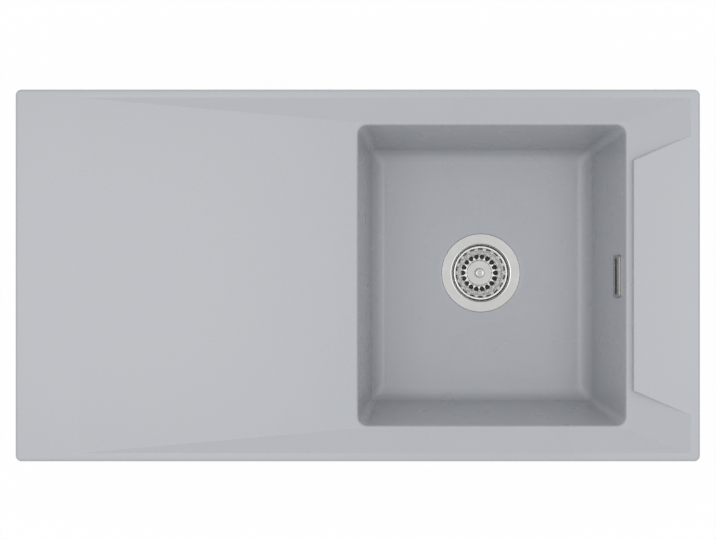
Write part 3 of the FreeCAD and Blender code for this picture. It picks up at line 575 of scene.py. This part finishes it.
def deckBlock():
    # the raised tap deck, a trapezium whose far end lies in the lip
    near = bowlRight + stone["ledge"]
    lipX = halfLength - stone["lipBowlEnd"]
    widen = (stone["deckFar"] - stone["deckNear"]) / 2 / (lipX - near)
    far = lipX + stone["lipBowlEnd"] / 2
    farHalf = stone["deckFar"] / 2 + widen * (far - lipX)
    middle = (near + far) / 2 * mm
    bm = box((near, -1, openZ - stone["wall"] / 2), (far, 1, top))
    for vert in bm.verts:  # each end gets its own width
        half = stone["deckNear"] / 2 if vert.co.x < middle else farHalf
        vert.co.y = math.copysign(half * mm, vert.co.y)
    edges = []
    for edge in bm.edges:
        lowest, nearest = [min(vert.co[axis] for vert in edge.verts) for axis in (2, 0)]
        if lowest > 0.99 * top * mm and nearest < middle:
            edges.append(edge)
    bevelled(bm, edges, "EDGES", stone["deckRound"], 4)
    return bm


def wallMatrix():
    # a frame on the bowl's end wall: X through the wall, Y along it
    low, high = boxOf("overflow_cover")
    middleY = (low.y + high.y) / 2
    slotZ = top - stone["slotDrop"]
    foot = Vector((bowlRight - (openZ - slotZ) * slope, middleY, slotZ))
    return Matrix.Translation(foot * mm) @ Matrix.Rotation(stone["draft"], 4, "Y")


onWall = wallMatrix()


def underRibs():
    parts = []
    xLow = -halfLength + stone["levelEnd"] + stone["ribInset"]
    xHigh = bowlLeft - stone["wall"] / 2
    yLimit = bowlSide - stone["ribInset"]
    half = stone["ribWidth"] / 2
    for y in (-stone["ribY"], 0, stone["ribY"]):
        parts.append(box((xLow, y - half, -stone["ribDepth"]), (xHigh, y + half, over)))
    x = bowlLeft - stone["wall"] - stone["ribX"]
    while x > xLow + stone["ribWidth"]:
        parts.append(box((x - half, -yLimit, -stone["ribDepth"]), (x + half, yLimit, over)))
        x -= stone["ribX"]
    for rib in parts:
        for vert in rib.verts:
            if vert.co.z > 0:  # the ribs' upper faces stay inside the falling plate
                vert.co.z -= stone["ribSink"] * mm * (vert.co.x / mm - xLow) / (xHigh - xLow)
    return parts


def makeStoneBody():
    bm = stoneShell()
    steps = [("UNION", deckBlock())]
    steps += [("UNION", rib) for rib in underRibs()]
    lipX = halfLength - stone["lipBowlEnd"]
    inset = stone["deckRecessInset"]
    recess = box(
        (bowlRight + stone["ledge"] + inset, -stone["deckNear"] / 2, -stone["blockDepth"]),
        (lipX - inset, stone["deckNear"] / 2, top - stone["deckSkin"]),
    )
    steps.append(("DIFFERENCE", recess))
    tapX = halfLength - stone["tapFromEnd"]
    for side in (-1, 1):
        hole = rod(stone["tapHole"], -stone["blockDepth"], top - stone["tapSkin"])
        steps.append(("DIFFERENCE", shifted(hole, tapX, side * stone["tapSpacing"] / 2, 0)))
    for x, y in clampSpots:
        bore = rod(
            stone["anchorRadius"], -stone["blockDepth"] - over, stone["anchorLength"] - stone["blockDepth"],
        )
        steps.append(("DIFFERENCE", shifted(bore, x, y, 0)))
    corner = stone["slotHeight"] / 2 - 0.1  # just short of a half circle, so that no two corners meet
    slot = plate(stone["slotLength"], stone["slotHeight"], corner, -stone["slotReach"], stone["slotReach"])
    steps.append(("DIFFERENCE", moved(slot, onWall)))
    shares = ["sink_moulding", "sink_rim_back", "sink_rim_front", "sink_tap_deck", "sink_bowl"]
    finished("stoneBody", combined(bm, steps), "castStone", shares)


makeStoneBody()
print("stone body made")

# steel cup, basket, disc and knob

strainer = {
    "sheet": 1.0, "flange": 57.5, "throat": 3.5, "cup": 41.0, "cupDepth": 32.5, "seat": 31.5,
    "seatDrop": 7.0, "neck": 8.0, "armWidth": 5.0, "armHeight": 2.5, "hub": 7.0, "screwHole": 2.8,
    "armStep": 0.07, "hubStep": 0.03, "hubRise": 0.1, "armRound": 0.6,  # no two faces lie in one plane
}


def makeStrainerCup():
    sheet = strainer["sheet"]
    cupWall = dishZ - strainer["cupDepth"]
    seatZ = cupWall - strainer["seatDrop"]
    neckZ = seatZ - strainer["neck"]
    cup, seat, flange = strainer["cup"], strainer["seat"], strainer["flange"]
    throat = strainer["throat"]
    shell = turned([
        (cup, dishZ, throat), (cup, cupWall, 1.5), (seat, seatZ, 1.2), (seat, neckZ, 0.3),
        (seat + sheet, neckZ, 0.3), (seat + sheet, seatZ - sheet / 2, 1.6),
        (cup + sheet, cupWall - sheet / 2, 1.9), (cup + sheet, dishZ - sheet, throat - sheet),
        (flange, dishZ - sheet, 0.25), (flange, dishZ, 0.7),
    ], steps=160, segments=8)
    reach, side, armTop = seat + sheet / 2, strainer["armWidth"] / 2, neckZ + strainer["armHeight"]
    step, rounding = strainer["armStep"], strainer["armRound"]
    across = box((-reach, -side, neckZ), (reach, side, armTop), rounding)
    along = box((-side, -reach, neckZ + step), (side, reach, armTop - step), rounding)
    hub = rod(strainer["hub"], neckZ + strainer["hubStep"], armTop + strainer["hubRise"], edge=rounding)
    hole = rod(strainer["screwHole"], neckZ - over, armTop + over)
    steps = [("UNION", across), ("UNION", along), ("UNION", hub), ("DIFFERENCE", hole)]
    whole = atDrain(combined(shell, steps))
    finished("strainerCup", whole, "polishedSteel", ["strainer_cup"])


makeStrainerCup()

basket = {
    "flutes": 18, "fluteDepth": 1.1, "fluteSteps": 12, "fluteLead": 4.5, "fluteRise": 3.0, "fluteFade": 1.2,
    "sheet": 0.9, "rim": 39.8, "rimInner": 37.8, "rimDrop": 2.4, "bead": 1.2,
    "shoulder": 34.8, "shoulderDrop": 5.5, "floor": 25.0, "kneeOut": 4.2, "kneeUp": 9.0,
    "slotTurn": 12.0, "slotInset": 0.2, "slotWidth": 3.0, "slotPast": 1.2, "slotFoot": 8.0,
    "slotTop": (1.5, 2.0),  # below the rim at the slot's inner and outer side
    "hole": 3.6, "holeReach": 24.2, "holeDrop": 2.0, "rivetHole": 2.5,
}


def fluteWeight(radius):
    # full on the sloping wall, none on the floor and the collar
    inner, outer = basket["floor"] - basket["fluteLead"], basket["shoulder"] + basket["fluteFade"]
    rise = min(max((radius - inner) / basket["fluteRise"], 0), 1)
    fade = min(max((outer - radius) / basket["fluteFade"], 0), 1)
    return rise * rise * (3 - 2 * rise) * fade


def makeBasket():
    base, high = [corner.z for corner in boxOf("basket")]
    bm = bmesh.new()
    sheet = basket["sheet"]
    shoulderZ = high - basket["shoulderDrop"]
    geom = section(bm, [
        (basket["rivetHole"], base, 0), (basket["floor"] - 3, base, 0), (basket["floor"], base, 2.0),
        (basket["floor"] + basket["kneeOut"], base + basket["kneeUp"], 0),
        (basket["shoulder"] - 1.5, shoulderZ - 3, 0), (basket["shoulder"] + 0.2, shoulderZ, 1.2),
        (basket["rimInner"], high - basket["bead"], 0.6), (basket["rimInner"] + 0.2, high - sheet, 0.4),
        (basket["rim"] - sheet, high - sheet, 0.8), (basket["rim"] - sheet, high - basket["rimDrop"], 0),
    ], False)
    spun(bm, geom, basket["flutes"] * basket["fluteSteps"])
    long = [edge for edge in bm.edges if edge.calc_length() > 5 * mm]
    bmesh.ops.subdivide_edges(bm, edges=long, cuts=3)  # so that the flutes can curve
    pitch = 2 * math.pi / basket["flutes"]
    for vert in bm.verts:
        radius = math.hypot(vert.co.x, vert.co.y) / mm
        across = (math.atan2(vert.co.y, vert.co.x) % pitch) / pitch
        depth = basket["fluteDepth"] * (1 - 4 * across * (1 - across)) * fluteWeight(radius)
        factor = (radius - depth) / radius
        vert.co.x *= factor
        vert.co.y *= factor
    bmesh.ops.recalc_face_normals(bm, faces=bm.faces)
    if sum(face.normal.z * face.calc_area() for face in bm.faces) < 0:
        bmesh.ops.reverse_faces(bm, faces=bm.faces)
    bmesh.ops.solidify(bm, geom=bm.faces[:], thickness=-sheet * mm)
    cutters = []
    outer = basket["rimInner"] - basket["slotInset"]
    inner, past = outer - basket["slotWidth"], outer + basket["slotPast"]
    slotZ, slotTurn = shoulderZ - basket["slotFoot"], math.radians(basket["slotTurn"])
    innerTop, outerTop = basket["slotTop"]
    for count in range(basket["flutes"]):
        slot = bmesh.new()
        section(slot, [
            (inner, slotZ, 0), (past, slotZ, 0), (past, high - outerTop, 0), (inner, high - innerTop, 0),
        ])
        face = bmesh.ops.contextual_create(slot, geom=slot.edges)["faces"]
        bmesh.ops.spin(slot, geom=face, cent=(0, 0, 0), axis=(0, 0, 1), angle=slotTurn, steps=4)
        tidy(slot)
        start = (count + 0.5) * pitch - slotTurn / 2
        cutters.append(moved(slot, Matrix.Rotation(start, 4, "Z")))
        hole = rod(basket["hole"], base - basket["holeDrop"], base + basket["kneeUp"], 24)
        shifted(hole, basket["holeReach"], 0, 0)
        cutters.append(moved(hole, Matrix.Rotation(count * pitch, 4, "Z")))
    whole = atDrain(combined(bm, [("DIFFERENCE", gathered(cutters))]))
    # the basket takes the copy of the steel that carries painted sheen
    finished("basketShell", whole, "steelWithPaintedSheen", ["basket"], "strainer_basket", 50)


makeBasket()

cap = {
    "radius": 20.7, "edge": 0.9, "step": 1.6, "stepRadius": 18.0, "stepRun": 0.9, "sheet": 1.0,
    "hole": 2.5,
}


def makeCap():
    base, high = [corner.z for corner in boxOf("basket_cap")]
    brim, inner, sheet = high - cap["step"], cap["radius"] - cap["sheet"], cap["sheet"]
    step, run, hole = cap["stepRadius"], cap["stepRun"], cap["hole"]
    whole = turned([
        (hole, high - sheet, 0), (step - run, high - sheet, 0.4), (step, brim - sheet, 0.4),
        (inner, brim - sheet, 0.8), (inner, base, 0.3), (cap["radius"], base, 0.3),
        (cap["radius"], brim, cap["edge"]), (step + run, brim, 0.4), (step, high, 0.4), (hole, high, 0),
    ], steps=128)
    finished(
        "basketCap", atDrain(whole), "polishedSteel", ["basket_cap"], "strainer_basket",
    )


makeCap()

knob = {
    "radius": 7.0, "neck": 3.6, "flare": 1.5, "round": 2.0, "headHalf": 1.0, "dish": 0.5,
    "dishRadius": 3.2, "dishFloor": 2.6,
}


def makeKnob():
    foot, high = [corner.z for corner in boxOf("basket_knob")]
    middle, half = (foot + high) / 2, knob["headHalf"]
    radius, neck, flare, dish = knob["radius"], knob["neck"], knob["flare"], high - knob["dish"]
    whole = turned([
        (0, foot, 0), (neck + flare, foot, 0.2), (neck, foot + flare, 1.2), (neck, middle - half, 1.0),
        (radius, middle + half, 1.4), (radius, high, knob["round"]), (knob["dishRadius"], high, 0.8),
        (knob["dishFloor"], dish, 0.4), (0, dish, 0),
    ], False, 96, 6)
    finished(
        "basketKnob", atDrain(whole), "polishedSteel", ["basket_knob"], "strainer_basket",
    )


makeKnob()
print("strainer made")

# overflow cover and its screws

cover = {
    "length": 58.0, "height": 28.0, "thickness": 3.0, "corner": 4.0, "edge": 0.8, "slotHeight": 7.0,
    "screwSpacing": 40.0, "recess": 5.5, "recessDepth": 2.0, "screwHole": 2.3,
    "headRadius": 4.0, "headHeight": 1.6, "headSide": 0.35, "headCrown": 0.55,  # side and crown are shares
    "crossReach": 2.2, "crossHalf": 0.35, "crossDepth": 0.9, "crossTurn": 20,
    "shaftRadius": 2.0, "shaftLength": 25.0, "shaftPitch": 1.2, "shaftThread": 0.35, "shaftRise": 0.1,
}


def makeOverflowCover():
    front = -cover["thickness"]
    end = cover["screwSpacing"] / 2
    bm = plate(cover["length"], cover["height"], cover["corner"], front, 0)
    edges = [edge for edge in bm.edges if max(vert.co.x for vert in edge.verts) < front / 2 * mm]
    bevelled(bm, edges, "EDGES", cover["edge"], 4)
    slot = plate(2 * (end - cover["recess"] + over), cover["slotHeight"], 1.0, front - over, over)
    steps = [("DIFFERENCE", slot)]
    turn = Matrix.Rotation(math.radians(90), 4, "Y")
    for y in (-end, end):
        recess = moved(rod(cover["recess"], front - over, front + cover["recessDepth"]), turn)
        steps.append(("DIFFERENCE", shifted(recess, 0, y, 0)))
        hole = moved(rod(cover["screwHole"], front - over, over, 32), turn)
        steps.append(("DIFFERENCE", shifted(hole, 0, y, 0)))
    whole = moved(combined(bm, steps), onWall)
    # the plate's steel is darkened with painted shade
    finished("overflowPlate", whole, "brushedSteelPaintedShade", ["overflow_cover"])


makeOverflowCover()


def makeCoverScrews():
    seat = cover["recessDepth"] - cover["thickness"]
    radius, high = cover["headRadius"], cover["headHeight"]
    reach, half, floor = cover["crossReach"], cover["crossHalf"], high - cover["crossDepth"]
    screws = []
    for side in (-1, 1):
        head = turned([
            (0, 0, 0), (radius, 0, 0.2), (radius, high * cover["headSide"], 0.3),
            (radius * cover["headCrown"], high, 0.8), (0, high, 0),
        ], False, 48)
        cross = [
            box((-x, -y, floor), (x, y, high + over)) for x, y in ((reach, half), (half, reach))
        ]
        head = combined(head, [("DIFFERENCE", bar) for bar in cross])
        moved(head, Matrix.Rotation(math.radians(cover["crossTurn"] * side), 4, "Z"))
        shaft = threaded(
            cover["shaftRadius"], cover["shaftPitch"], cover["shaftThread"], -cover["shaftLength"],
            cover["shaftRise"], 16,
        )
        screw = gathered([head, shaft])
        moved(screw, Matrix.Rotation(math.radians(-90), 4, "Y"))
        screws.append(shifted(screw, seat, side * cover["screwSpacing"] / 2, 0))
    whole = moved(gathered(screws), onWall)
    finished("coverScrews", whole, "darkSteel", ["overflow_screws"])


makeCoverScrews()
print("overflow made")

# studs, claws and wing nuts

clamp = {
    "stud": 2.95, "pitch": 1.0, "thread": 0.45, "lead": 0.8, "bore": 3.3, "edge": 0.6,
    "clawWidth": 16.0, "hub": 9.0, "tooth": 5.0, "toothHeight": 3.0, "tip": 6.0, "clawRound": 1.4,
    "grooves": (1.2, 2.6, 4.0), "grooveWidth": 0.7, "grooveDepth": 0.6,
    "nut": 6.0, "flare": 1.5, "reach": 12.0, "wing": 3.0, "wingDrop": 1.0, "wingWaist": 1.8,
    "wingRound": 3.0,
}


def makeStuds():
    low, high = boxOf("clamp_studs")
    root, lead = clamp["stud"] - clamp["thread"], clamp["lead"]
    studs = []
    for x, y in clampSpots:
        thread = threaded(clamp["stud"], clamp["pitch"], clamp["thread"], low.z + lead, high.z - lead, 16)
        core = rod(root, low.z, high.z, 16, lead / 2)
        studs.append(shifted(gathered([core, thread]), x, y, 0))
    finished("clampStuds", gathered(studs), "zincSteel", ["clamp_studs"])


def makeClaw(number, x, y):
    low, high = boxOf(f"claw_{number}")
    away = Vector(((low.x + high.x) / 2 - x, (low.y + high.y) / 2 - y))
    reach = max(high.x - x, x - low.x, high.y - y, y - low.y)
    hubTop = high.z - clamp["toothHeight"]
    rounding, width = clamp["clawRound"], clamp["clawWidth"]
    arm = prism([
        (0, low.z, 0), (reach / 2, low.z, rounding), (reach, high.z - clamp["tip"], rounding),
        (reach, high.z, rounding), (reach - clamp["tooth"], high.z, rounding / 2),
        (reach - clamp["tooth"] - clamp["toothHeight"], hubTop, rounding / 2), (0, hubTop, 0),
    ], width, clamp["edge"])
    steps = [("UNION", rod(clamp["hub"], low.z, hubTop, 48, clamp["edge"]))]
    steps.append(("DIFFERENCE", rod(clamp["bore"], low.z - over, hubTop + over, 32)))
    floor = high.z - clamp["grooveDepth"]
    for inset in clamp["grooves"]:
        start = reach - inset - clamp["grooveWidth"] / 2
        groove = box((start, -width, floor), (start + clamp["grooveWidth"], width, high.z + over))
        steps.append(("DIFFERENCE", groove))
    whole = moved(combined(arm, steps), Matrix.Rotation(math.atan2(away.y, away.x), 4, "Z"))
    finished(
        f"clampClaw{number}", shifted(whole, x, y, 0), "clampPlastic",
        [f"claw_{number}"], f"clamp_{number}",
    )


def makeWingNut(number, x, y):
    low, high = boxOf(f"wing_nut_{number}")
    radius, reach, bore = clamp["nut"], clamp["reach"], clamp["bore"]
    wingTop = high.z - clamp["wingDrop"]
    waist, rounding = clamp["wingWaist"], clamp["wingRound"]
    hub = turned([
        (bore, low.z, 0.3), (radius, low.z, 0.8), (radius + clamp["flare"], high.z, 0.8),
        (bore, high.z, 0.3),
    ], steps=48)
    wings = prism([
        (-reach, low.z + waist, rounding), (-radius, low.z, 1), (radius, low.z, 1),
        (reach, low.z + waist, rounding), (reach, wingTop, rounding), (radius, wingTop - waist, 1),
        (-radius, wingTop - waist, 1), (-reach, wingTop, rounding),
    ], clamp["wing"], clamp["edge"])
    hole = rod(bore, low.z - over, high.z + over, 48)
    whole = combined(hub, [("UNION", wings), ("DIFFERENCE", hole)])
    finished(
        f"wingNut{number}", shifted(whole, x, y, 0), "clampPlastic",
        [f"wing_nut_{number}"], f"nut_{number}",
    )


makeStuds()
for number, (x, y) in enumerate(clampSpots, 1):
    makeClaw(number, x, y)
    makeWingNut(number, x, y)
print("clamps made")

# waste body

waste = {
    "bore": 44.0, "boreClear": 0.05, "wall": 3.0, "flange": 60.0, "flangeHeight": 5.0, "coneHeight": 10.0,
    "outlet": 20.0, "outletHeight": 24.0, "neckInset": 0.3,  # the neck inside the root of its thread
    "thread": 23.9, "threadPitch": 2.3, "threadDepth": 1.2, "threadStart": 0.7, "threadLength": 20.0,
    "port": 13.0, "portRoot": 3.4, "pillar": 7.0, "pillarDrop": 33.5, "webDrop": 2.0, "webStart": 1.0,
    "screwHole": 2.6, "screwDepth": 14.2,
}


def makeWasteBody():
    low, high = boxOf("waste_body")
    bore, wall = waste["bore"], waste["wall"]
    outer, root = bore + wall, waste["thread"] - waste["threadDepth"]
    outletZ = low.z + waste["outletHeight"]
    sumpZ = outletZ + waste["coneHeight"]
    flangeZ = high.z - waste["flangeHeight"]
    portZ = high.z - waste["pillarDrop"]
    webZ = portZ - waste["webDrop"]
    neck, flange, outlet = root - waste["neckInset"], waste["flange"], waste["outlet"]
    shell = turned([
        (bore, high.z, 0.3), (flange, high.z, 0.5), (flange, flangeZ, 1.0), (outer, flangeZ, 2.0),
        (outer, sumpZ, 4.0), (neck, outletZ, 1.5), (neck, low.z, 0.5), (outlet, low.z, 0.5),
        (outlet, outletZ, 1.5), (bore, sumpZ + wall / 2, 3.0),
    ])
    across = Matrix.Rotation(math.pi / 2, 4, "Y")
    portEnd = high.x - drain.x
    port = moved(rod(waste["port"] + wall, bore - waste["portRoot"], portEnd, 48, 0.5), across)
    portBore = moved(rod(waste["port"], bore - 2 * waste["portRoot"], portEnd + over, 64), across)
    thread = threaded(
        waste["thread"], waste["threadPitch"], waste["threadDepth"], low.z + waste["threadStart"],
        low.z + waste["threadLength"], 48,
    )
    # the thread is a full solid, so it is bored before it joins the neck
    core = rod((outlet + neck) / 2, low.z - over, outletZ + over, 96)
    thread = combined(thread, [("DIFFERENCE", core)])
    steps = [
        ("UNION", shifted(port, 0, 0, portZ)),
        ("DIFFERENCE", rod(bore + waste["boreClear"], sumpZ + wall + over, high.z - over, 96)),
        ("UNION", rod(waste["pillar"], sumpZ - wall, portZ, 32, 0.5)),
    ]
    for turn in (60, 180, 300):
        web = box((waste["webStart"], -wall / 2, sumpZ - wall / 2), (bore + wall / 2, wall / 2, webZ))
        steps.append(("UNION", moved(web, Matrix.Rotation(math.radians(turn), 4, "Z"))))
    steps += [
        ("UNION", thread), ("DIFFERENCE", shifted(portBore, 0, 0, portZ)),
        ("DIFFERENCE", rod(waste["screwHole"], portZ - waste["screwDepth"], portZ + over, 24)),
    ]
    whole = atDrain(combined(shell, steps))
    finished("wasteBody", whole, "wastePlastic", ["waste_body"])


makeWasteBody()
print("waste body made")

# the solids that stay as packed, with their finishes

keptNodes = {
    "rim_seal": "sealFoam", "strainer_gasket": "sealFoam", "overflow_gasket": "sealFoam",
    "lower_gasket": "gasketRubber", "basket_seal": "gasketRubber", "upper_cone_seal": "gasketRubber",
    "lower_cone_seal": "gasketRubber", "clamp_anchors": "insertBrass",
    "waste_screw": "zincSteel", "basket_rivet": "zincSteel",
    "overflow_box": "wastePlastic", "overflow_pipe": "wastePlastic", "upper_union_nut": "unionPlastic",
    "lower_union_nut": "unionPlastic", "clamp_blocks": "blockPlastic",
}
for node, material in keptNodes.items():
    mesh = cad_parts[node].data
    mesh.materials.clear()
    mesh.materials.append(materials[material])
print("kept solids finished")

# floor, light and camera

studio = {
    "floorDrop": 0.003, "floorSize": 12.0, "floorColour": (0.9, 0.9, 0.9, 1), "floorGlow": 0.97,
    "ambient": 0.68, "lampHeight": 2.3,
    "endLamps": ((-0.7, 1.4, 1.7), (1.15, 0.7, 2.1)),  # middle and length along X, and glow
    "endDepth": 1.2,
    "fillSize": 2.4, "fillGlow": 0.42,
    "cameraHeight": 2.0, "cameraPlace": (0.0003, 0.0073), "lens": 74.9,
}


def backdropMask(tree):
    # the rays that see a pale backdrop: from the camera, off metal and through glass
    rays = tree.nodes.new("ShaderNodeLightPath").outputs
    both = calc(tree, "MAXIMUM", rays["Is Camera Ray"], rays["Is Glossy Ray"])
    return calc(tree, "MAXIMUM", both, rays["Is Transmission Ray"])


def mixed(tree, share, first, second):
    feeds = ((0, share), (1, first.outputs[0]), (2, second.outputs[0]))
    return addNode(tree, "ShaderNodeMixShader", feeds)


def makeFloor():
    bm = bmesh.new()
    bmesh.ops.create_grid(bm, x_segments=2, y_segments=2, size=studio["floorSize"])
    bmesh.ops.translate(bm, verts=bm.verts, vec=(0, 0, cadBox[0].z - studio["floorDrop"]))
    mesh = meshOf("floor", bm)
    floor = placed("floor", mesh)
    material = bpy.data.materials.new("paleFloor")
    material.use_nodes = True
    tree = material.node_tree
    diffuse = tree.nodes["Principled BSDF"]
    diffuse.inputs["Base Color"].default_value = studio["floorColour"]
    diffuse.inputs["Roughness"].default_value = 0.9
    diffuse.inputs["Specular IOR Level"].default_value = 0.0
    glow = addNode(tree, "ShaderNodeEmission", (("Strength", 1.0),))
    pale = mixed(tree, calc(tree, "MULTIPLY", backdropMask(tree), studio["floorGlow"]), diffuse, glow)
    clear = tree.nodes.new("ShaderNodeBsdfTransparent")  # the floor isn't seen from below
    behind = tree.nodes.new("ShaderNodeNewGeometry").outputs["Backfacing"]
    surface = mixed(tree, behind, pale, clear).outputs[0]
    tree.links.new(surface, tree.nodes["Material Output"].inputs["Surface"])
    mesh.materials.append(material)


def makeWorld():
    world = bpy.data.worlds.new("paleStudio")
    bpy.context.scene.world = world
    world.use_nodes = True
    tree = world.node_tree
    ambient = tree.nodes["Background"]
    ambient.inputs["Color"].default_value = (1, 1, 1, 1)
    ambient.inputs["Strength"].default_value = studio["ambient"]
    seen = addNode(tree, "ShaderNodeBackground", (("Color", (1, 1, 1, 1)), ("Strength", 1.0)))
    surface = mixed(tree, backdropMask(tree), ambient, seen).outputs[0]
    tree.links.new(surface, tree.nodes["World Output"].inputs["Surface"])


def makeLamp(name, x, length, depth, glow, mirrored):
    lamp = bpy.data.lights.new(name, "AREA")
    lamp.shape = "RECTANGLE"
    lamp.size, lamp.size_y = length, depth
    lamp.energy = glow * math.pi * length * depth
    held = placed(name, lamp)
    held.location = (x, 0, studio["lampHeight"])
    held.visible_camera = False
    held.visible_glossy = mirrored


def makeCamera():
    camera = bpy.data.cameras.new("camera")
    camera.lens = studio["lens"]
    camera.sensor_width = 36.0
    held = placed("camera", camera)
    held.location = (*studio["cameraPlace"], top * mm + studio["cameraHeight"])
    bpy.context.scene.camera = held


makeFloor()
makeWorld()
for lampX, lampLength, lampGlow in studio["endLamps"]:
    makeLamp("endLamp", lampX, lampLength, studio["endDepth"], lampGlow, True)
makeLamp("fillLamp", 0, studio["fillSize"], studio["fillSize"], studio["fillGlow"], False)
makeCamera()
bpy.context.scene.view_settings.view_transform = "Standard"
print("studio made")
